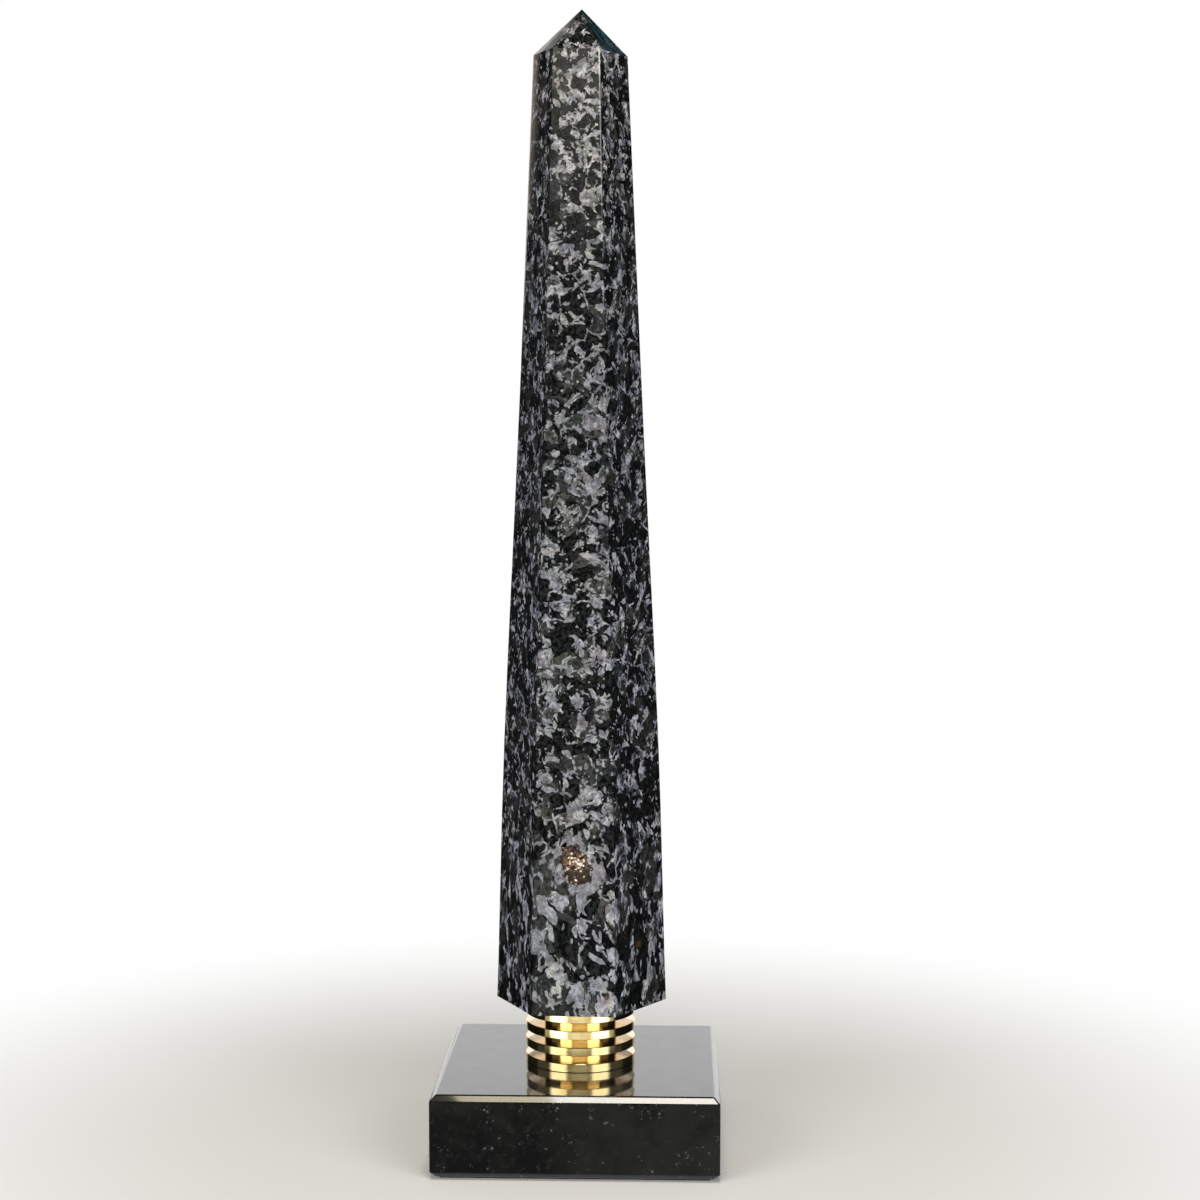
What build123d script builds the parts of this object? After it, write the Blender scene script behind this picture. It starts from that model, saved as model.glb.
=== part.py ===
"""Desk obelisk: a six-sided stone point on a stack of brass discs and a square black marble plinth.

Millimetres, +Z up. The origin is at the centre of the underside, on the surface that it stands on.
The plinth's sides are square to X and Y. One file is written for each piece.
"""

from build123d import *
import os
from math import cos, radians, sin

# ---- driving dimensions -------------------------------------------------------------------------
# Plinth
plinth_width = 100.0
plinth_height = 28.8
plinth_chamfer = 2.1

# Felt under the plinth
felt_thickness = 0.7
felt_inset = 1.0

# Brass stack: equal discs with smaller spacers between them, and a thin shim under the stone
disc_count = 4
disc_diameter = 39.6
disc_thickness = 3.1
disc_edge_break = 0.2
spacer_diameter = 26.2
spacer_thickness = 2.8
shim_diameter = 30.0
shim_thickness = 1.4

# Stone: a hexagonal shaft that tapers to its shoulder, then a low point
shaft_height = 338.3
shaft_foot_width = 62.0
shaft_shoulder_width = 33.7
tip_height = 16.2
# The stone is cut and set by hand: turned on its plinth, its shoulder askew and its point off the axis
stone_turn = -2.8
tip_offset = 0.7
shoulder_tilt = 1.8
# Share of the shaft's height, and how far the corners stand outside a straight taper there
shaft_swell = ((0.16, 0.70), (0.31, 1.04), (0.50, 0.57), (0.72, 0.15))
# How much deeper than a regular hexagon's each side is cut, as a share of the distance to the middle:
# front, right front, right back, back, left back, left front
side_cuts = (0.0, 0.02, -0.025, 0.0, 0.0, 0.025)

# Fixing: a threaded rod glued into the stone, with a washer and a nut in a counterbore below
rod_diameter = 8.0
rod_depth_in_stone = 45.0
nut_width = 13.0
nut_height = 6.5
washer_diameter = 24.0
washer_thickness = 1.6
rod_past_nut = 1.5

# Clearances
glue_gap = 0.2
thread_gap = 0.1
stack_bore_gap = 0.2
plinth_bore_gap = 0.5
counterbore_side_gap = 2.0
counterbore_end_gap = 0.8

# ---- worked out from them -----------------------------------------------------------------------
SIDES = 6
SIDE_ANGLE = 360 / SIDES

plinth_bottom = felt_thickness
plinth_top = plinth_bottom + plinth_height
stack_pitch = disc_thickness + spacer_thickness
stack_top = plinth_top + disc_count * disc_thickness + (disc_count - 1) * spacer_thickness
stone_bottom = stack_top + shim_thickness
shoulder = stone_bottom + shaft_height
stack_bore = rod_diameter + 2 * stack_bore_gap

counterbore_diameter = washer_diameter + 2 * counterbore_side_gap
counterbore_depth = washer_thickness + nut_height + rod_past_nut + counterbore_end_gap
washer_top = plinth_bottom + counterbore_depth
nut_top = washer_top - washer_thickness
rod_bottom = nut_top - nut_height - rod_past_nut
rod_top = stone_bottom + rod_depth_in_stone


def ring(outer_diameter, bore, thickness, bottom):
    """A flat ring about the Z axis, standing on the level called bottom."""
    outside = Cylinder(outer_diameter / 2, thickness, align=(Align.CENTER, Align.CENTER, Align.MIN))
    inside = Cylinder(bore / 2, thickness, align=(Align.CENTER, Align.CENTER, Align.MIN))
    return Pos(0, 0, bottom) * (outside - inside)


def side_distance(side, apothem):
    """How far a side of the stone lies from the axis."""
    return apothem * (1 - side_cuts[side % SIDES])


def stone_section(width_over_corners, height):
    """The stone's six-sided outline at a height. Side 0 faces -Y, and the others follow towards +X."""
    apothem = width_over_corners / 2 * cos(radians(SIDE_ANGLE / 2))
    corners = []
    for side in range(SIDES):
        facing = radians(stone_turn - 90 + side * SIDE_ANGLE)
        here = side_distance(side, apothem)
        beside = side_distance(side + 1, apothem)
        along = (beside - here * cos(radians(SIDE_ANGLE))) / sin(radians(SIDE_ANGLE))
        x = here * cos(facing) - along * sin(facing)
        y = here * sin(facing) + along * cos(facing)
        corners.append((x, y))
    return Pos(0, 0, height) * make_face(Polyline(*corners, close=True))


def stone_width(share, swell):
    """Width over the corners of the straight taper at a share of the shaft's height, plus the swell."""
    straight = shaft_foot_width + (shaft_shoulder_width - shaft_foot_width) * share
    return straight + 2 * swell


def stone_blank():
    """The tapering shaft, run on past its shoulder to the height of the point."""
    stations = ((0.0, 0.0),) + shaft_swell + ((1.0, 0.0), (1 + tip_height / shaft_height, 0.0))
    sections = [
        stone_section(stone_width(share, swell), stone_bottom + share * shaft_height)
        for share, swell in stations
    ]
    return loft(sections)


def stone_obelisk():
    shoulder_plane = Plane.XY.offset(shoulder).rotated((0, shoulder_tilt, 0))
    shaft = split(stone_blank(), bisect_by=shoulder_plane, keep=Keep.BOTTOM)
    shoulder_face = shaft.faces().sort_by(Axis.Z)[-1]
    tip = loft([shoulder_face, Vertex(tip_offset, 0, shoulder + tip_height)])
    bore = Cylinder(
        rod_diameter / 2 + glue_gap,
        rod_depth_in_stone + glue_gap,
        align=(Align.CENTER, Align.CENTER, Align.MIN),
    )
    return shaft + tip - Pos(0, 0, stone_bottom) * bore


def brass_disc(number):
    """Disc 1 lies on the plinth."""
    disc = ring(disc_diameter, stack_bore, disc_thickness, plinth_top + (number - 1) * stack_pitch)
    rims = disc.edges().filter_by(GeomType.CIRCLE).group_by(SortBy.RADIUS)[-1]
    return chamfer(rims, disc_edge_break)


def brass_spacer(number):
    """Spacer 1 lies on disc 1."""
    bottom = plinth_top + (number - 1) * stack_pitch + disc_thickness
    return ring(spacer_diameter, stack_bore, spacer_thickness, bottom)


def plinth():
    block = Box(
        plinth_width, plinth_width, plinth_height, align=(Align.CENTER, Align.CENTER, Align.MIN)
    )
    upright = block.edges().filter_by(Axis.Z)
    block = chamfer(block.edges() - upright, plinth_chamfer)
    hole = Cylinder(
        rod_diameter / 2 + plinth_bore_gap,
        plinth_height,
        align=(Align.CENTER, Align.CENTER, Align.MIN),
    )
    counterbore = Cylinder(
        counterbore_diameter / 2, counterbore_depth, align=(Align.CENTER, Align.CENTER, Align.MIN)
    )
    return Pos(0, 0, plinth_bottom) * (block - hole - counterbore)


def tie_rod():
    length = rod_top - rod_bottom
    rod = Cylinder(rod_diameter / 2, length, align=(Align.CENTER, Align.CENTER, Align.MIN))
    return Pos(0, 0, rod_bottom) * rod


def fixing_nut():
    over_corners = nut_width / cos(radians(SIDE_ANGLE / 2))
    blank = extrude(RegularPolygon(over_corners / 2, SIDES), nut_height)
    thread = Cylinder(
        rod_diameter / 2 + thread_gap, nut_height, align=(Align.CENTER, Align.CENTER, Align.MIN)
    )
    return Pos(0, 0, nut_top - nut_height) * (blank - thread)


def felt_base():
    width = plinth_width - 2 * plinth_chamfer - 2 * felt_inset
    return Box(width, width, felt_thickness, align=(Align.CENTER, Align.CENTER, Align.MIN))


def pieces():
    """Every piece by its name."""
    made = {
        "stone_obelisk": stone_obelisk(),
        "stone_shim": ring(shim_diameter, stack_bore, shim_thickness, stack_top),
        "plinth": plinth(),
        "tie_rod": tie_rod(),
        "fixing_washer": ring(washer_diameter, stack_bore, washer_thickness, nut_top),
        "fixing_nut": fixing_nut(),
        "felt_base": felt_base(),
    }
    for number in range(1, disc_count + 1):
        made[f"brass_disc_{number}"] = brass_disc(number)
    for number in range(1, disc_count):
        made[f"brass_spacer_{number}"] = brass_spacer(number)
    return made


os.makedirs("parts", exist_ok=True)
for name, piece in pieces().items():
    export_step(piece, f"parts/{name}.step")
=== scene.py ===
import math
import random
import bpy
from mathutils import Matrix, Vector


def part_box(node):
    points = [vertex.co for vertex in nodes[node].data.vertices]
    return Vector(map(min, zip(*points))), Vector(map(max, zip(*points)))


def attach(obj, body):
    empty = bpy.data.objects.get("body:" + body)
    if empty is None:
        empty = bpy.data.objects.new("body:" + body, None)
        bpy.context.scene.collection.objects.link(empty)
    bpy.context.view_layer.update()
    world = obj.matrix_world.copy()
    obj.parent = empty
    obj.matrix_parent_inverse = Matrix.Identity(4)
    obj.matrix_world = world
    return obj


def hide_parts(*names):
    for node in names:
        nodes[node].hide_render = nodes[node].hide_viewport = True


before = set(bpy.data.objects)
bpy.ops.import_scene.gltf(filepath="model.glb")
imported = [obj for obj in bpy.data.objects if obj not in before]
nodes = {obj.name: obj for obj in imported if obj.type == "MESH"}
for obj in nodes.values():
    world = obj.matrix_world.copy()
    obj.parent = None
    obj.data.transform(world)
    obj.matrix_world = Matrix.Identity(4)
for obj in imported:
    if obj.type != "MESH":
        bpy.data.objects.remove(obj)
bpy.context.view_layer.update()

from types import SimpleNamespace

import bmesh
import bpy
from mathutils import Vector

scene = bpy.context.scene
scene.view_settings.view_transform = "Standard"

felt_low, felt_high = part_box("felt_base")
MM = 1000.0   # millimetres in a metre: materials work in millimetres, and everything else in metres


# ---------------------------------------------------------------- node helpers

def linear(red, green, blue):
    """A colour written as 0 to 255, as a shader's linear colour."""
    def one(value):
        value /= 255.0
        return value / 12.92 if value <= 0.04045 else ((value + 0.055) / 1.055) ** 2.4
    return (one(red), one(green), one(blue), 1.0)


class Graph:
    """One node tree, built by a short call for each node. Values may be numbers, colours or sockets."""

    def __init__(self, tree):
        self.tree = tree
        tree.nodes.clear()

    def feed(self, socket, value):
        if isinstance(value, bpy.types.NodeSocket):
            self.tree.links.new(value, socket)
        else:
            socket.default_value = value

    def add(self, kind, inputs=None, **settings):
        node = self.tree.nodes.new(kind)
        for key, value in settings.items():
            setattr(node, key, value)
        for key, value in (inputs or {}).items():
            self.feed(node.inputs[key], value)
        return node

    def math(self, operation, *values):
        node = self.add("ShaderNodeMath", operation=operation)
        for i, value in enumerate(values):
            self.feed(node.inputs[i], value)
        return node.outputs[0]

    def over(self, operation, values):
        """The values taken together, two at a time."""
        found = values[0]
        for value in values[1:]:
            found = self.math(operation, found, value)
        return found

    def total(self, *values):
        return self.over("ADD", values)

    def times(self, *values):
        return self.over("MULTIPLY", values)

    def most(self, *values):
        return self.over("MAXIMUM", values)

    def less(self, value, taken):
        return self.math("SUBTRACT", value, taken)

    def size(self, value):
        return self.math("ABSOLUTE", value)

    def length(self, a, b):
        return self.math("SQRT", self.total(self.times(a, a), self.times(b, b)))

    def turn(self, x, y):
        """Degrees round the axis from the front, -Y, towards +X."""
        return self.math("DEGREES", self.math("ARCTAN2", x, self.times(y, -1.0)))

    def vector(self, operation, *values):
        node = self.add("ShaderNodeVectorMath", operation=operation)
        for i, value in enumerate(values):
            self.feed(node.inputs[i], value)
        return node.outputs[0]

    def scaled(self, vector, factor):
        node = self.add("ShaderNodeVectorMath", operation="SCALE")
        self.feed(node.inputs[0], vector)
        self.feed(node.inputs["Scale"], factor)
        return node.outputs[0]

    def parts(self, vector):
        node = self.add("ShaderNodeSeparateXYZ")
        self.feed(node.inputs[0], vector)
        return node.outputs[0], node.outputs[1], node.outputs[2]

    def joined(self, x, y, z):
        return self.add("ShaderNodeCombineXYZ", {0: x, 1: y, 2: z}).outputs[0]

    def turned(self, vector, degrees, scale, shift):
        """The vector turned, then scaled along its own axes and moved."""
        node = self.add("ShaderNodeVectorRotate", {"Vector": vector}, rotation_type="EULER_XYZ")
        node.inputs["Rotation"].default_value = [math.radians(d) for d in degrees]
        moved = self.vector("MULTIPLY", node.outputs[0], scale)
        return self.vector("ADD", moved, shift)

    def step(self, value, start, end):
        """0 at start and before it, 1 at end and past it, smooth between. start may be above end."""
        if start > end:
            return self.less(1.0, self.step(value, end, start))
        node = self.add("ShaderNodeMapRange", {"Value": value, "From Min": start, "From Max": end},
                        interpolation_type="SMOOTHSTEP")
        return node.outputs[0]

    def mix(self, factor, a, b, blend="MIX"):
        node = self.add("ShaderNodeMix", data_type="RGBA", blend_type=blend)
        self.feed(node.inputs[0], factor)
        self.feed(node.inputs[6], a)
        self.feed(node.inputs[7], b)
        return node.outputs[2]

    def tinted(self, colour, tint):
        return self.mix(1.0, colour, tint, blend="MULTIPLY")

    def lerp(self, factor, a, b):
        node = self.add("ShaderNodeMix", data_type="FLOAT")
        self.feed(node.inputs[0], factor)
        self.feed(node.inputs[2], a)
        self.feed(node.inputs[3], b)
        return node.outputs[0]

    def noise_node(self, vector, scale, detail, roughness, distortion=0.0):
        return self.add("ShaderNodeTexNoise", {
            "Vector": vector, "Scale": scale, "Detail": detail,
            "Roughness": roughness, "Distortion": distortion})

    def noise(self, vector, scale, detail=2.0, roughness=0.5, distortion=0.0):
        return self.noise_node(vector, scale, detail, roughness, distortion).outputs[0]

    def wander(self, vector, scale, detail, reach, roughness=0.5):
        """A vector that wanders about zero, at most by about half of reach each way."""
        colour = self.noise_node(vector, scale, detail, roughness).outputs[1]
        return self.scaled(self.vector("SUBTRACT", colour, (0.5, 0.5, 0.5)), reach)

    def cells(self, vector, scale=1.0):
        """Random values of each cell, three of them, and the distance from its centre."""
        node = self.add("ShaderNodeTexVoronoi", {"Vector": vector, "Scale": scale})
        split = self.add("ShaderNodeSeparateColor", {0: node.outputs["Color"]})
        return split.outputs[0], split.outputs[1], split.outputs[2], node.outputs["Distance"]

    def streaks(self, vector, turns, scales, shift):
        """The highest random value of several sets of long thin cells. Each set is turned its own way,
        takes the next of the scales, and is moved by shift from the last set."""
        values = []
        for i, turn in enumerate(turns):
            moved = self.turned(vector, turn, scales[i % len(scales)], [i * d for d in shift])
            values.append(self.cells(moved)[0])
        return self.most(*values)

    def walls(self, vector, scale):
        """The distance from the nearest wall between cells."""
        node = self.add("ShaderNodeTexVoronoi", {"Vector": vector, "Scale": scale},
                        feature="DISTANCE_TO_EDGE")
        return node.outputs["Distance"]

    def millimetres(self):
        """The place in the row frame, in millimetres."""
        return self.scaled(self.add("ShaderNodeTexCoord").outputs["Object"], MM)

    def bump(self, height, distance):
        return self.add("ShaderNodeBump", {"Height": height, "Distance": distance}).outputs[0]


def material(name):
    """A new material as (material, graph, principled shader)."""
    made = bpy.data.materials.new(name)
    made.use_nodes = True
    graph = Graph(made.node_tree)
    shader = graph.add("ShaderNodeBsdfPrincipled")
    out = graph.add("ShaderNodeOutputMaterial")
    graph.tree.links.new(shader.outputs[0], out.inputs["Surface"])
    return made, graph, shader


# ---------------------------------------------------------------- polished speckled stone
# Heights, places and sizes on the stone are in millimetres, and angles are in degrees round its axis
# from the front, towards +X. A pair is where a step starts and where it ends, unless it says otherwise.

COARSE = (150.0, 55.0)                # heights between which the grains grow, downwards
PATTERN_SCALES = (0.9, 0.66)          # the pattern's scale above them and below them
PATTERN_SQUEEZE = (1.0, 1.24, 1.0)    # the pattern is finer from front to back
CLEARER_PAINTED_LIGHT = (230.0, 190.0)              # heights between which the feldspar clears and brightens, downwards: partly its own tone, partly painted light
CREAMY_PAINTED_LIGHT = (290.0, 385.0)               # heights between which it turns creamy and brighter, upwards: partly its own tone, partly painted light
DARK_APEX = (398.0, 401.0)            # heights between which the light grains fade, upwards
POINT_DEPTH = -14.4                   # on the point, the grain runs straight back from this y
SIDE_SHADING_ON = (0.35, 0.6)                 # how far a face looks sideways, from front faces to side faces, which get painted light and shade
FACET_UP = 0.3                        # a face that looks further up than this is a facet of the point

# Laths and strokes are long thin cells: how each set is turned, in degrees, its cells to a unit of the
# pattern along each axis, the scales taken in turn, and how far each set is moved on from the last
LATH_TURNS = ((12, 25, 40), (70, -15, 100), (-40, 60, 155), (25, -70, 15), (50, 30, -60), (80, 10, 30))
LATH_SCALES, LATH_SHIFT = ((0.12, 0.62, 0.45), (0.17, 0.85, 0.55)), (7.3, 3.1, 5.7)
STROKE_TURNS = ((5, 40, 65), (-30, 55, 120), (60, 20, -20))
STROKE_SCALES, STROKE_SHIFT = ((0.10, 0.70, 0.35),), (4.1, 9.3, 2.7)
GRAIN_SCALE = 0.19                    # dark grains to a unit of the pattern
LIGHT_FROM = (0.576, 0.604)           # the light field's values between which light grains start
STROKE_FROM = (0.976, 0.979)          # the same for the strokes' cells, so that few of them show

POCKET = (-0.5, 105.5)                # x and height of the bronze pocket's middle
POCKET_HALF_HEIGHT = 6.7
POCKET_HALF_WIDTHS = (6.2, 4.0)       # low down and at its top
POCKET_LEAN = 1.2
FRONT_FACE = (-12.0, -14.0)           # y between which the front face starts
STAINS = ((10.5, 57.5, 2.0), (-0.5, 82.0, 1.3), (22.0, 75.0, 1.8))   # rusty: x, height and size

RIGHT_ARRIS, LEFT_ARRIS = 26.2, -94.1
FACET_TANGENT = (0.54, 0.84)          # x and y along the foot of the point's right front facet


def stone_places(g):
    """What the stone's features share. p is the even place that the grains follow, soft is p with
    gently wandering outlines, q is soft with ragged ones, and firm keeps straight lines nearly so."""
    place = g.millimetres()
    x, y, z = g.parts(place)
    geometry = g.add("ShaderNodeNewGeometry").outputs
    across, _, flat_up = g.parts(geometry["True Normal"])
    _, _, up = g.parts(geometry["Normal"])
    foot = g.step(z, *COARSE)
    on_point = g.math("GREATER_THAN", flat_up, FACET_UP)
    depth = g.lerp(on_point, y, g.math("MINIMUM", y, POINT_DEPTH))
    from_coarse = g.vector("SUBTRACT", g.joined(x, depth, z), (0.0, 0.0, COARSE[0]))
    p = g.vector("MULTIPLY", g.scaled(from_coarse, g.lerp(foot, *PATTERN_SCALES)), PATTERN_SQUEEZE)
    drift = g.wander(p, 0.15, 2.0, 5.0)
    ragged = g.wander(p, 0.7, 1.5, 1.5)
    soft = g.vector("ADD", p, drift)
    return SimpleNamespace(
        place=place, x=x, y=y, z=z, up=up, turn=g.turn(x, y),
        # 1 on the side faces, where the material paints light and shade
        side=g.step(g.size(across), *SIDE_SHADING_ON), foot=foot, front=g.step(y, *FRONT_FACE),
        p=p, soft=soft, ragged=ragged, q=g.vector("ADD", soft, ragged),
        firm=g.vector("ADD", p, g.vector("ADD", g.scaled(drift, 0.3), g.scaled(ragged, 0.5))))


def light_field(g, at):
    """High inside the light clusters, with fingers along laths in several directions."""
    cluster = g.noise(at.q, 0.17, 1.5, 0.5)
    laths = g.streaks(at.q, LATH_TURNS, LATH_SCALES, LATH_SHIFT)
    fingers = g.times(g.less(laths, 0.84), 0.70)
    chip, _, _, _ = g.cells(at.q, 0.60)
    chips = g.times(g.less(chip, 0.5), g.lerp(at.side, 0.09, 0.20))
    # fewer light grains at the foot, and on the side faces as part of their painted shade
    rarer = g.total(g.times(at.side, 0.022), g.times(at.foot, 0.017))
    return g.less(g.total(cluster, fingers, chips), rarer)


def light_grains(g, at, field, kind, grain):
    """1 on light grains: the clusters without the dark grains that stay whole in them, the thin rims
    of others, straight strokes that cross everything, and crumbs. They fade at the apex."""
    wall = g.math("DIVIDE", g.walls(grain, GRAIN_SCALE), GRAIN_SCALE)
    whole = g.times(g.math("GREATER_THAN", kind, 0.76), g.step(wall, 0.15, 0.3))
    rim = g.times(g.step(wall, 0.42, 0.26), g.step(g.noise(at.p, 0.22, 2.0, 0.6), 0.54, 0.58))
    stroke = g.step(g.streaks(at.firm, STROKE_TURNS, STROKE_SCALES, STROKE_SHIFT), *STROKE_FROM)
    crumb, _, _, crumb_away = g.cells(at.q, 0.70)
    crumbs = g.times(g.step(crumb, 0.91, 0.92), g.step(crumb_away, 0.50, 0.40))
    light = g.times(g.step(field, *LIGHT_FROM), g.less(1.0, whole))
    light = g.most(light, g.times(rim, 0.85), g.times(stroke, 0.9), g.times(crumbs, 0.8))
    return g.times(light, g.lerp(g.step(at.z, *DARK_APEX), 1.0, 0.3))


def dark_ground(g, at, kind, tint):
    """Olive-grey and black grains, mottled inside. On the side faces they are blacker: painted shade."""
    mottle = g.noise(at.p, 0.8, 4.0, 0.7)
    olive = g.mix(tint, linear(76, 76, 72), linear(49, 53, 54))
    olive = g.mix(g.step(mottle, 0.46, 0.62), olive, linear(30, 32, 31))
    olive = g.mix(g.times(g.step(mottle, 0.44, 0.36), 0.6), olive, linear(100, 99, 93))
    black = g.mix(g.step(mottle, 0.42, 0.62), linear(9, 10, 11), linear(44, 46, 46))
    ground = g.mix(g.math("GREATER_THAN", kind, 0.34), olive, black)
    # painted shade: the ground on the side faces is half near-black
    return g.mix(g.times(at.side, 0.5), ground, linear(8, 9, 11))


def light_feldspar(g, at, field, cloud, veil):
    """Lilac and cream greys, paler along their edges. On the side faces they have streaks of painted light
    and shade. They are clearer and brighter low down and creamier and brighter near the shoulder, partly
    their own tone and partly painted light."""
    warm = g.step(g.noise(at.p, 0.12, 2.0), 0.4, 0.6)
    dull = g.mix(warm, linear(111, 114, 124), linear(117, 112, 115))
    cream = g.step(g.noise(at.p, 0.2, 1.0), 0.4, 0.6)
    clear = g.mix(cream, linear(173, 177, 186), linear(187, 185, 186))
    feldspar = g.mix(g.step(cloud, 0.38, 0.66), dull, clear)
    feldspar = g.mix(g.times(g.step(field, 0.64, 0.58), 0.35), feldspar, clear)
    feldspar = g.tinted(feldspar, veil)
    streak = g.step(g.noise(at.q, 0.30, 3.0, 0.7), 0.36, 0.64)
    # painted light and shade on the side faces: streaks darker and brighter than the feldspar
    side_light_and_shade = g.mix(streak, (0.11, 0.12, 0.15, 1.0), (1.40, 1.42, 1.51, 1.0))
    feldspar = g.mix(at.side, feldspar, g.tinted(feldspar, side_light_and_shade))
    lilac = g.step(g.noise(at.q, 0.10, 2.0), 0.36, 0.62)
    feldspar = g.tinted(feldspar, g.mix(lilac, (1.02, 1.03, 0.95, 1.0), (0.995, 0.99, 1.02, 1.0)))
    # brightness by height: partly the feldspar's own tone, partly painted light
    level = g.mix(g.step(at.z, *CLEARER_PAINTED_LIGHT), (0.95, 0.95, 0.95, 1.0), (1.10, 1.10, 1.10, 1.0))
    level = g.mix(g.step(at.z, *CREAMY_PAINTED_LIGHT), level, (1.28, 1.25, 1.16, 1.0))
    return g.tinted(feldspar, level)


def bronze_pocket(g, at, colour, cloud, veil):
    """A pocket of bronze-coloured sulphide low on the front, in a patch of clean feldspar. Gives the
    colour, where the pocket is, and where it is metallic."""
    tall = g.math("DIVIDE", g.less(at.z, POCKET[1]), POCKET_HALF_HEIGHT)
    width = g.lerp(g.step(tall, -0.3, 1.1), *POCKET_HALF_WIDTHS)
    wide = g.math("DIVIDE", g.total(at.x, -POCKET[0], g.times(tall, POCKET_LEAN)), width)
    uneven = g.times(g.less(g.noise(at.place, 0.30, 3.0, 0.6), 0.5), 1.3)
    reach = g.total(g.length(tall, wide), uneven)
    pocket = g.times(g.step(reach, 1.02, 0.95), at.front)

    around = g.times(g.step(reach, 1.75, 1.5), at.front, g.step(g.noise(at.q, 0.22, 2.0), 0.54, 0.51))
    clean = g.tinted(g.mix(cloud, linear(120, 118, 124), linear(182, 180, 184)), veil)
    colour = g.mix(g.times(around, 0.9), colour, clean)

    flake, flake_tint, glint, _ = g.cells(at.place, 1.5)
    heart = g.step(reach, 0.75, 0.25)
    bronze = g.mix(flake_tint, linear(88, 74, 58), linear(144, 118, 96))
    bronze = g.mix(g.times(heart, 0.5), bronze, linear(208, 164, 134))
    bronze = g.mix(g.math("LESS_THAN", flake, 0.34), bronze, linear(44, 34, 26))
    bronze = g.mix(g.times(g.step(tall, 0.0, -0.5), 0.8), bronze, linear(58, 50, 40))
    glints = g.math("GREATER_THAN", glint, g.lerp(heart, 0.90, 0.76))
    bronze = g.mix(glints, bronze, linear(252, 240, 220))
    bronze = g.mix(g.times(g.step(reach, 0.80, 0.95), 0.8), bronze, linear(34, 28, 24))
    metal = g.times(pocket, g.math("GREATER_THAN", flake, 0.26), 0.35)
    return g.mix(pocket, colour, bronze), pocket, metal


def rusty_stains(g, at, colour):
    for stain_x, stain_z, stain_size in STAINS:
        apart = g.length(g.less(at.x, stain_x), g.less(at.z, stain_z))
        uneven = g.times(g.noise(at.place, 0.7, 3.0, 0.7), 1.4)
        edge = g.total(g.math("DIVIDE", apart, stain_size), uneven, -0.7)
        colour = g.mix(g.times(g.step(edge, 1.0, 0.4), at.front, 0.4), colour, linear(112, 84, 44))
    return colour


def painted_arris_reflections(g, at, colour):
    """Painted highlights and reflections near the shoulder: a pale painted highlight along the front's
    right arris, and a pale painted reflection along the left one and on the face in front of it. On the
    point, the facet in front of the left one has a pale painted reflection at its foot, and the right
    front facet has teal streaks of painted reflection."""
    upright = g.math("LESS_THAN", at.up, 0.2)
    facet = g.math("GREATER_THAN", at.up, FACET_UP)
    # noise that breaks up the painted highlights and reflections
    reflection_breakup = g.step(g.noise(at.place, 0.35, 2.0, 0.6), 0.30, 0.42)
    near_right = g.size(g.less(at.turn, RIGHT_ARRIS))
    # the painted highlight on the right arris, strongest near the shoulder
    right_highlight_heights = g.total(g.times(g.step(at.z, 376.0, 387.0), 0.6), g.times(g.step(at.z, 315.0, 376.0), 0.28))
    right = g.times(g.step(near_right, 1.1, 0.6), right_highlight_heights, reflection_breakup, upright)
    colour = g.mix(g.times(right, 0.95), colour, linear(246, 240, 230))

    # a pale painted reflection along the left arris and on the face in front of it
    near_left = g.size(g.less(at.turn, LEFT_ARRIS))
    forward = g.step(at.turn, LEFT_ARRIS - 3.0, LEFT_ARRIS + 1.0)
    reflection_beside = g.times(g.step(near_left, 24.0, 4.0), g.step(at.z, 320.0, 385.0), upright, forward)
    colour = g.mix(g.times(reflection_beside, 0.40), colour, linear(176, 166, 158))
    patchy = g.lerp(reflection_breakup, 0.5, 1.0)
    left = g.times(g.step(near_left, 3.6, 2.0), g.step(at.z, 275.0, 330.0), upright, patchy)
    colour = g.mix(g.times(left, 0.65), colour, linear(208, 198, 186))

    # teal streaks of painted reflection on the point's right front facet
    along = g.total(g.times(at.x, FACET_TANGENT[0]), g.times(at.y, FACET_TANGENT[1]))
    streaks = g.noise(g.joined(g.times(along, 1.1), g.times(at.z, 0.12), 0.0), 1.0, 3.0, 0.6)
    teal_reflection = g.mix(g.step(streaks, 0.46, 0.62), linear(10, 14, 17), linear(28, 76, 88))
    teal_reflection = g.mix(g.step(streaks, 0.64, 0.70), teal_reflection, linear(150, 160, 166))
    right_facet = g.times(facet, g.step(at.turn, 28.0, 32.0), g.step(at.turn, 88.0, 84.0))
    colour = g.mix(g.times(right_facet, 0.94), colour, teal_reflection)
    # a pale painted reflection at the foot of the point's facet in front of the left arris
    left_facet = g.times(g.step(near_left, 34.0, 20.0), facet, g.step(at.z, 404.0, 399.0), forward)
    return g.mix(g.times(left_facet, g.lerp(reflection_breakup, 0.10, 0.30)), colour, linear(224, 208, 200))


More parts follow.
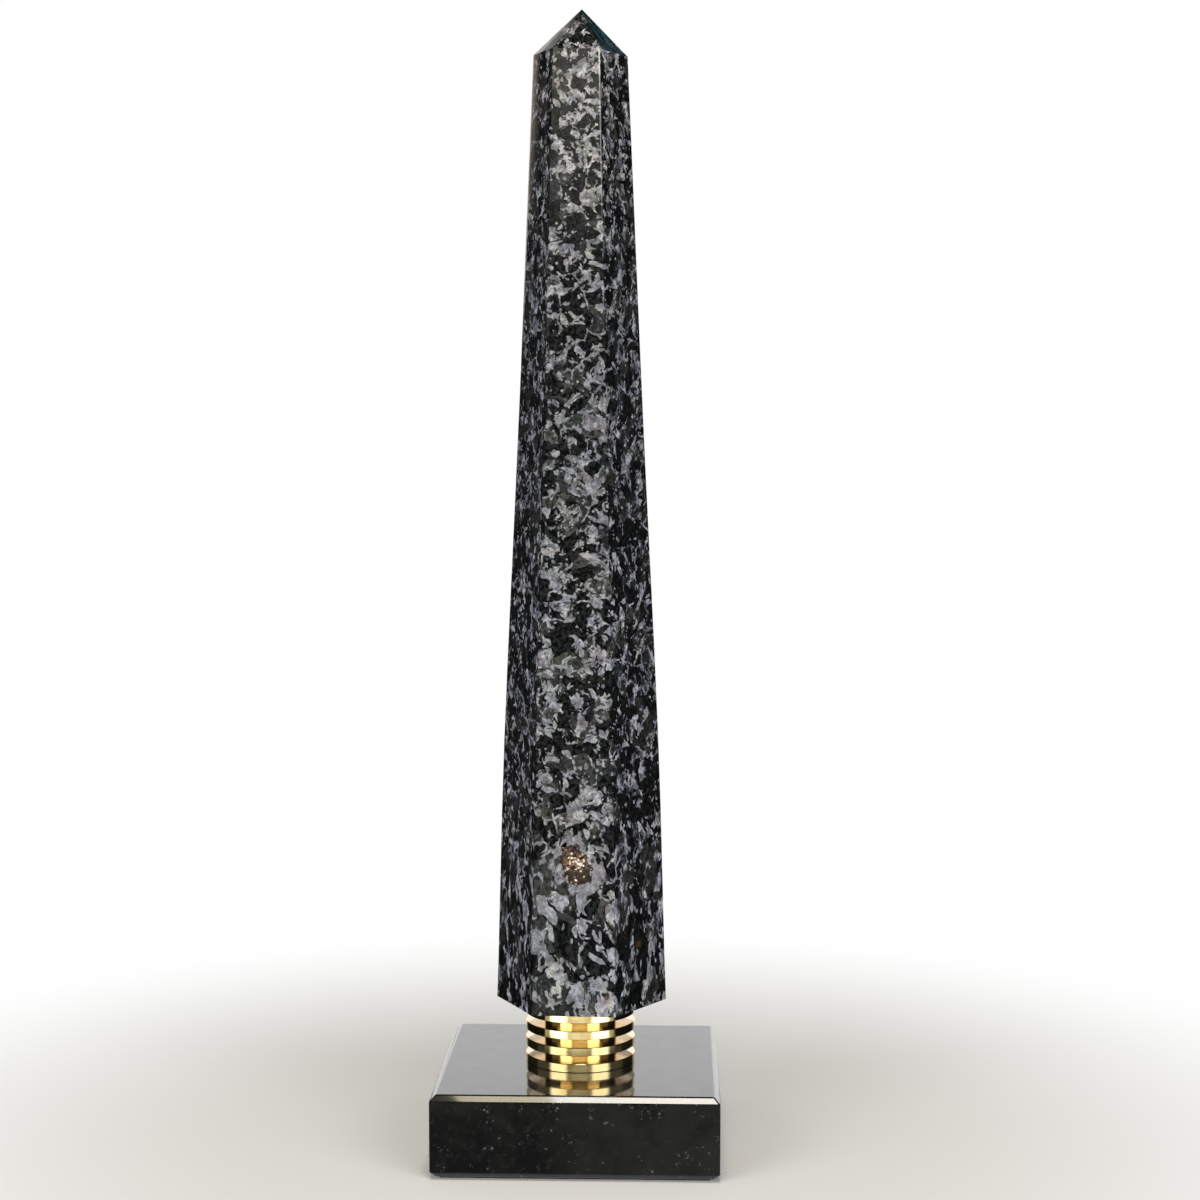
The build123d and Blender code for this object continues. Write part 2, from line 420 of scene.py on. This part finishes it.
def speckled_stone():
    made, g, shader = material("speckled_stone")
    at = stone_places(g)
    grain = g.vector("ADD", at.soft, g.scaled(at.ragged, 0.6))
    kind, tint, _, _ = g.cells(grain, GRAIN_SCALE)
    field = light_field(g, at)
    cloud = g.noise(at.q, 0.40, 3.0, 0.6)
    fine = g.step(g.noise(at.place, 0.9, 3.0, 0.65), 0.36, 0.64)
    finer = g.step(g.noise(at.place, 1.9, 3.0, 0.7), 0.38, 0.62)
    faint = g.mix(at.foot, (0.52, 0.52, 0.54, 1.0), (0.66, 0.66, 0.68, 1.0))
    veil = g.scaled(g.mix(fine, faint, (1.12, 1.12, 1.12, 1.0)), g.lerp(finer, 0.80, 1.14))

    colour = g.mix(light_grains(g, at, field, kind, grain), dark_ground(g, at, kind, tint),
                   light_feldspar(g, at, field, cloud, veil))
    speck, _, _, speck_away = g.cells(at.p, 0.6)
    dots = g.times(g.step(speck, 0.93, 0.94), g.step(speck_away, 0.30, 0.2))
    colour = g.mix(dots, colour, linear(160, 160, 154))
    colour, pocket, metal = bronze_pocket(g, at, colour, cloud, veil)
    colour = rusty_stains(g, at, colour)
    # painted highlights and reflections on the arrises and the point
    colour = painted_arris_reflections(g, at, colour)

    g.feed(shader.inputs["Base Color"], colour)
    g.feed(shader.inputs["Metallic"], metal)
    shader.inputs["IOR"].default_value = 1.5
    shader.inputs["Specular IOR Level"].default_value = 0.42
    polish = g.lerp(g.noise(at.p, 0.3, 3.0), 0.05, 0.12)
    g.feed(shader.inputs["Roughness"], g.lerp(pocket, polish, 0.35))
    return made


# ---------------------------------------------------------------- brass, marble, steel, felt

DISC_FLAT = (19.5, 19.1)      # distances from the axis, in millimetres, between which a disc's flat starts
SPACER_WALL = (14.0, 13.5)    # the same for the spacers' walls, which stand at 13.1


def polished_brass():
    """Turned brass: its rims, the discs' flats and the spacers' walls differ a little in tone. The
    spacers' walls, in the grooves, are a deeper gold as painted shade.
    """
    made, g, shader = material("polished_brass")
    p = g.millimetres()
    x, y, z = g.parts(p)
    radius = g.length(x, y)
    _, _, up = g.parts(g.add("ShaderNodeNewGeometry").outputs["True Normal"])
    level = g.size(up)
    flat = g.times(g.step(radius, *DISC_FLAT), g.step(level, 0.4, 0.6))
    wall = g.times(g.step(radius, *SPACER_WALL), g.step(level, 0.6, 0.4))
    tarnish = g.noise(p, 0.25, 4.0, 0.6)
    colour = g.mix(g.step(tarnish, 0.4, 0.75), linear(247, 228, 172), linear(238, 213, 146))
    # painted shade: the spacers' walls, in the grooves, are a deeper gold
    colour = g.mix(wall, colour, linear(240, 205, 124))
    beige = g.mix(g.step(tarnish, 0.4, 0.7), linear(245, 232, 216), linear(236, 220, 198))
    g.feed(shader.inputs["Base Color"], g.mix(flat, colour, beige))
    shader.inputs["Metallic"].default_value = 1.0
    shader.inputs["Specular Tint"].default_value = (1.0, 0.97, 0.92, 1.0)
    polish = g.lerp(wall, g.lerp(tarnish, 0.09, 0.14), 0.05)
    g.feed(shader.inputs["Roughness"], g.lerp(flat, polish, 0.06))
    # fine marks round the axis, from the lathe
    shader.inputs["Anisotropic"].default_value = 0.9
    shader.inputs["Anisotropic Rotation"].default_value = 0.25
    tangent = g.add("ShaderNodeTangent", direction_type="RADIAL", axis="Z")
    g.feed(shader.inputs["Tangent"], tangent.outputs[0])
    marks = g.noise(g.joined(radius, z, 0.0), 5.0, 3.0, 0.6)
    g.feed(shader.inputs["Normal"], g.bump(marks, 0.00002))
    return made


# Cells to a millimetre, the share of cells left plain away from the clusters and in them, and how pale
# the faintest and the strongest specks are
MARBLE_SPECKS = ((1.0, 0.994, 0.60, 0.04, 0.34), (0.8, 0.998, 0.88, 0.10, 0.60),
                 (1.6, 0.996, 0.62, 0.04, 0.22))


def black_marble():
    """Clouded black, darker towards -X by painted shade, with clustered pale specks. Only its top and the
    chamfers round the top have the mirror-like coat."""
    made, g, shader = material("black_marble")
    p = g.millimetres()
    x, _, _ = g.parts(p)
    # the clouding grows steadily darker towards -X: painted shade
    cloud = g.total(g.noise(p, 0.045, 3.0, 0.6), g.times(x, 0.0022))
    colour = g.mix(g.step(cloud, 0.30, 0.74), linear(2, 2, 2), linear(32, 32, 30))
    colour = g.mix(g.step(g.noise(p, 0.30, 3.0, 0.7), 0.50, 0.75), colour, linear(34, 34, 32))
    smear = g.scaled(g.noise_node(p, 0.9, 2.0, 0.6).outputs[1], 1.6)
    smeared = g.vector("ADD", p, smear)
    cluster = g.step(g.noise(p, 0.13, 3.0, 0.65), 0.53, 0.68)
    for scale, plain_away, plain_within, faintest, strongest in MARBLE_SPECKS:
        speck, tone, _, away = g.cells(smeared, scale)
        shown = g.math("GREATER_THAN", speck, g.lerp(cluster, plain_away, plain_within))
        shade = g.lerp(g.times(tone, tone), faintest, strongest)
        colour = g.mix(g.times(shown, g.step(away, 0.52, 0.05), shade), colour, linear(166, 170, 170))
    g.feed(shader.inputs["Base Color"], colour)
    shader.inputs["IOR"].default_value = 1.5
    shader.inputs["Specular IOR Level"].default_value = 0.10
    g.feed(shader.inputs["Roughness"], g.lerp(g.noise(p, 0.4, 3.0), 0.10, 0.2))
    _, _, up = g.parts(g.add("ShaderNodeNewGeometry").outputs["Normal"])
    wiped = g.lerp(g.step(g.noise(p, 0.11, 5.0, 0.7), 0.35, 0.65), 0.93, 1.0)
    g.feed(shader.inputs["Coat Weight"], g.times(g.step(up, 0.3, 0.6), wiped))
    shader.inputs["Coat IOR"].default_value = 1.5
    shader.inputs["Coat Roughness"].default_value = 0.04
    return made


def zinc_steel():
    made, g, shader = material("zinc_steel")
    p = g.millimetres()
    spangle, _, _, _ = g.cells(p, 0.8)
    g.feed(shader.inputs["Base Color"], g.mix(spangle, linear(176, 180, 184), linear(200, 202, 204)))
    shader.inputs["Metallic"].default_value = 1.0
    g.feed(shader.inputs["Roughness"], g.lerp(g.noise(p, 1.0, 3.0), 0.28, 0.45))
    return made


def black_felt():
    made, g, shader = material("black_felt")
    p = g.millimetres()
    fibre = g.noise(p, 3.0, 4.0, 0.7, 1.5)
    g.feed(shader.inputs["Base Color"], g.mix(fibre, linear(16, 16, 17), linear(38, 38, 40)))
    shader.inputs["Roughness"].default_value = 0.95
    shader.inputs["Sheen Weight"].default_value = 0.4
    g.feed(shader.inputs["Normal"], g.bump(fibre, 0.0002))
    return made


finish_of = {"speckled_stone": speckled_stone(), "black_marble": black_marble(),
             "polished_brass": polished_brass(), "zinc_steel": zinc_steel(), "black_felt": black_felt()}
slot_of = {"stone_obelisk": "speckled_stone", "plinth": "black_marble", "tie_rod": "zinc_steel",
           "fixing_washer": "zinc_steel", "fixing_nut": "zinc_steel", "felt_base": "black_felt"}
for name, node in nodes.items():
    slot = slot_of.get(name, "polished_brass")
    for holder in node.material_slots:
        holder.material = finish_of[slot]


# ---------------------------------------------------------------- softened arrises

def soften(name, width):
    """Welds the node's split faces and breaks its arrises, which catch the light."""
    weld = nodes[name].modifiers.new("weld", "WELD")
    weld.merge_threshold = 1e-6
    bevel = nodes[name].modifiers.new("bevel", "BEVEL")
    bevel.width = width
    bevel.segments = 3
    bevel.limit_method = "ANGLE"
    bevel.angle_limit = math.radians(24)
    weigh = nodes[name].modifiers.new("weigh", "WEIGHTED_NORMAL")
    weigh.keep_sharp = False


soften("stone_obelisk", width=0.00042)
soften("plinth", width=0.0005)


# ---------------------------------------------------------------- felt under the plinth

FELT_GRID = 60            # squares along each side
FELT_TRIM = 0.0006        # how much narrower than its space the felt is
FELT_RAGGED = 0.0002      # how far its edge wanders at most
FELT_WAVE = 0.00003       # how far its faces rise and fall
FELT_SLACK = 0.00008      # how much thinner than its space it is
GRID_EDGE = 0.499         # the grid runs from -0.5 to 0.5


def felt_sheet():
    """A cut square of felt, its edge a little uneven, as a closed thin mesh."""
    size = felt_high - felt_low
    middle = (felt_high + felt_low) / 2
    draw = random.Random(7)
    waves = [(draw.uniform(0.5, 2.5), draw.uniform(0, math.tau), draw.uniform(0.2, 1.0)) for _ in range(8)]

    def edge(t):
        return sum(a * math.sin(k * t * 12 + phase) for k, phase, a in waves) / len(waves) * FELT_RAGGED

    mesh = bpy.data.meshes.new("felt_sheet")
    bm = bmesh.new()
    bmesh.ops.create_grid(bm, x_segments=FELT_GRID, y_segments=FELT_GRID, size=0.5)
    for vertex in bm.verts:
        u, v = vertex.co.x, vertex.co.y
        x = u * (size.x - FELT_TRIM) + edge(v) * (abs(u) > GRID_EDGE)
        y = v * (size.y - FELT_TRIM) + edge(u + 0.37) * (abs(v) > GRID_EDGE)
        lift = FELT_WAVE * math.sin(u * 61 + v * 23) * math.sin(v * 47)
        vertex.co = (middle.x + x, middle.y + y, middle.z + lift)
    bm.to_mesh(mesh)
    bm.free()
    piece = bpy.data.objects.new("felt_sheet", mesh)
    scene.collection.objects.link(piece)
    solid = piece.modifiers.new("thickness", "SOLIDIFY")
    solid.thickness = size.z - FELT_SLACK
    solid.offset = 0.0
    mesh.materials.append(finish_of["black_felt"])
    return piece


felt = felt_sheet()
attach(felt, "root")
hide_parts("felt_base")


# ---------------------------------------------------------------- floor
# Distances from the object's axis are in metres, and angles in degrees from the front, either way round.

FLOOR_RADIUS = 0.38
FADE = (0.10, 0.36)                         # where the floor turns to the backdrop's white, to the camera
MIRRORED_EDGE = (0.28, 0.36)                # where polish stops seeing a pale floor
MIRRORED_SIDES = (66.0, 76.0)               # where polish stops seeing it towards the sides
MIRRORED_BACK = (152.0, 146.0)              # but straight behind it sees a pale floor at any distance
MIRRORED_WHITE = 0.9
RING = ((0.135, 0.155), (0.34, 0.28))       # a glossy ring that only polish sees: its inner, outer edge
RING_GLOSS = 0.74


def floor_material():
    """Matt and pale. Polish sees it white close by and dark further out, as on a small pale table, and
    sees the soft boxes mirrored in a ring of it."""
    made = bpy.data.materials.new("pale_floor")
    made.use_nodes = True
    g = Graph(made.node_tree)
    x, y, _ = g.parts(g.add("ShaderNodeTexCoord").outputs["Object"])
    away = g.length(x, y)
    turn = g.size(g.turn(x, y))
    path = g.add("ShaderNodeLightPath").outputs
    mirrored = path["Is Glossy Ray"]
    sideways = g.step(turn, *MIRRORED_SIDES)
    dark = g.times(g.most(sideways, g.step(away, *MIRRORED_EDGE)), g.step(turn, *MIRRORED_BACK), mirrored)
    near = g.step(away, *reversed(MIRRORED_EDGE))
    pale = g.times(g.less(1.0, dark), near, mirrored, MIRRORED_WHITE)
    fade = g.total(g.times(g.step(away, *FADE), path["Is Camera Ray"]), pale)
    ring = g.times(g.step(away, *RING[0]), g.step(away, *RING[1]))
    shine = g.times(g.less(1.0, sideways), ring, mirrored, RING_GLOSS)

    matt_colour = g.mix(dark, linear(234, 233, 230), linear(20, 20, 20))
    matt = g.add("ShaderNodeBsdfDiffuse", {"Color": matt_colour})
    white = g.add("ShaderNodeEmission", {"Color": (1, 1, 1, 1), "Strength": 1.0})
    gloss = g.add("ShaderNodeBsdfGlossy", {"Color": (1, 1, 1, 1), "Roughness": 0.05})
    surface = g.add("ShaderNodeMixShader", {0: fade, 1: matt.outputs[0], 2: white.outputs[0]})
    ringed = g.add("ShaderNodeMixShader", {0: shine, 1: surface.outputs[0], 2: gloss.outputs[0]})
    out = g.add("ShaderNodeOutputMaterial")
    g.tree.links.new(ringed.outputs[0], out.inputs["Surface"])
    return made


floor_mesh = bpy.data.meshes.new("floor")
bm = bmesh.new()
bmesh.ops.create_circle(bm, cap_ends=True, segments=96, radius=FLOOR_RADIUS)
bm.to_mesh(floor_mesh)
bm.free()
floor = bpy.data.objects.new("floor", floor_mesh)
scene.collection.objects.link(floor)
floor_mesh.materials.append(floor_material())


# ---------------------------------------------------------------- world
# The camera sees white all round. Matt surfaces see an even dim room. Polished surfaces see a dark room
# with zones of light in it. A zone's low and high edges are sines of elevations, and its turns are in
# degrees from the front, either way round. Each edge is a pair, between which it fades.

ROOM = 0.25
MIRRORED_ROOM = 0.02
WHITE, WARM = (1.0, 1.0, 1.0, 1.0), (1.0, 0.94, 0.82, 1.0)

BACKDROP, BACKDROP_LOW, BACKDROP_HIGH = 1.12, (-0.22, -0.16), (0.44, 0.40)
BACKDROP_BACK = (0.78, 0.90)                          # how far back a direction looks, to see it
FRONT_LIGHT, FRONT_LOW, FRONT_HIGH = 1.1, (0.12, 0.28), (0.40, 0.28)
FRONT_BACK = (-0.6, -0.8)
FRONT_CORE, CORE_LOW, CORE_TURN = 1.8, (0.240, 0.256), (20.0, 15.0)   # its brighter middle
BOX_LOW, BOX_HIGH = (0.10, 0.18), (0.38, 0.31)
BOXES, BOXES_FROM, BOXES_TO = 5.0, (25.0, 29.0), (68.0, 58.0)         # a soft box each side in front
WALLS, WALLS_FROM, WALLS_TO = 0.16, (62.0, 68.0), (104.0, 98.0)       # dim walls beside them

world = bpy.data.worlds.new("studio")
scene.world = world
world.use_nodes = True
g = Graph(world.node_tree)
right, back, up = g.parts(g.add("ShaderNodeTexCoord").outputs["Generated"])
turn = g.size(g.turn(right, back))


def zone(facing, low, high, level):
    return g.times(facing, g.step(up, *low), g.step(up, *high), level)


def turned_zone(start, end, level):
    return zone(g.times(g.step(turn, *start), g.step(turn, *end)), BOX_LOW, BOX_HIGH, level)


core = g.times(g.step(up, *CORE_LOW), g.step(turn, *CORE_TURN))
lights = g.most(
    zone(g.step(back, *BACKDROP_BACK), BACKDROP_LOW, BACKDROP_HIGH, BACKDROP),
    zone(g.step(back, *FRONT_BACK), FRONT_LOW, FRONT_HIGH, g.lerp(core, FRONT_LIGHT, FRONT_CORE)),
    turned_zone(BOXES_FROM, BOXES_TO, BOXES),
    turned_zone(WALLS_FROM, WALLS_TO, WALLS))
path = g.add("ShaderNodeLightPath").outputs
mirrored = g.most(path["Is Glossy Ray"], path["Is Transmission Ray"])
level = g.lerp(mirrored, ROOM, g.most(lights, MIRRORED_ROOM))
level = g.lerp(path["Is Camera Ray"], level, 1.0)
tint = g.mix(g.times(mirrored, g.step(back, -0.5, -0.7)), WHITE, WARM)
background = g.add("ShaderNodeBackground", {"Color": tint, "Strength": level})
out = g.add("ShaderNodeOutputWorld")
g.tree.links.new(background.outputs[0], out.inputs["Surface"])


# ---------------------------------------------------------------- lamps

def lamp(name, place, target, width, height, radiance, tint=(1.0, 1.0, 1.0), mirrored=True):
    """A soft box of that width and height, in metres, and that brightness. Polish shows it if mirrored."""
    data = bpy.data.lights.new(name, "AREA")
    data.shape = "RECTANGLE"
    data.size, data.size_y = width, height
    data.energy = radiance * math.pi * width * height
    data.color = tint
    made = bpy.data.objects.new(name, data)
    made.location = place
    made.rotation_euler = (Vector(target) - Vector(place)).to_track_quat("-Z", "Y").to_euler()
    made.visible_camera = False
    made.visible_glossy = mirrored
    scene.collection.objects.link(made)


def round_at(azimuth, distance, height):
    """A place that far from the object's axis. Azimuth 0 is in front, and 90 is on the +X side."""
    angle = math.radians(azimuth)
    return (math.sin(angle) * distance, -math.cos(angle) * distance, height)


SIDE_AWAY, SIDE_HEIGHT, SIDE_RADIANCE = 2.0, 0.92, 4.55   # the two soft boxes beside the camera
OVER_FORWARD, OVER_HEIGHT = -0.52, 1.5                    # y and height of the two lamps overhead

lamp("lamp_left", round_at(-42, SIDE_AWAY, SIDE_HEIGHT), (0, 0, SIDE_HEIGHT),
     1.22, 1.15, SIDE_RADIANCE, mirrored=False)
lamp("lamp_right", round_at(39, SIDE_AWAY, SIDE_HEIGHT), (0, 0, SIDE_HEIGHT),
     1.30, 1.15, SIDE_RADIANCE, mirrored=False)
lamp("lamp_over", (0.06, OVER_FORWARD, OVER_HEIGHT), (0.06, OVER_FORWARD, 0.0),
     0.30, 0.45, 19.0, tint=(1.0, 0.95, 0.85))
lamp("lamp_warm", (-0.14, OVER_FORWARD, OVER_HEIGHT), (-0.14, OVER_FORWARD, 0.0),
     0.10, 0.45, 10.0, tint=(1.0, 0.91, 0.66))


# ---------------------------------------------------------------- camera

camera_data = bpy.data.cameras.new("camera")
camera_data.sensor_width = 36.0
camera_data.lens = 66.66
camera = bpy.data.objects.new("camera", camera_data)
camera.location = (0.0344, -0.7968, 0.2492)
aim = Vector((0.0071, 0.0, 0.1969))
camera.rotation_euler = (aim - camera.location).to_track_quat("-Z", "Y").to_euler()
scene.collection.objects.link(camera)
scene.camera = camera
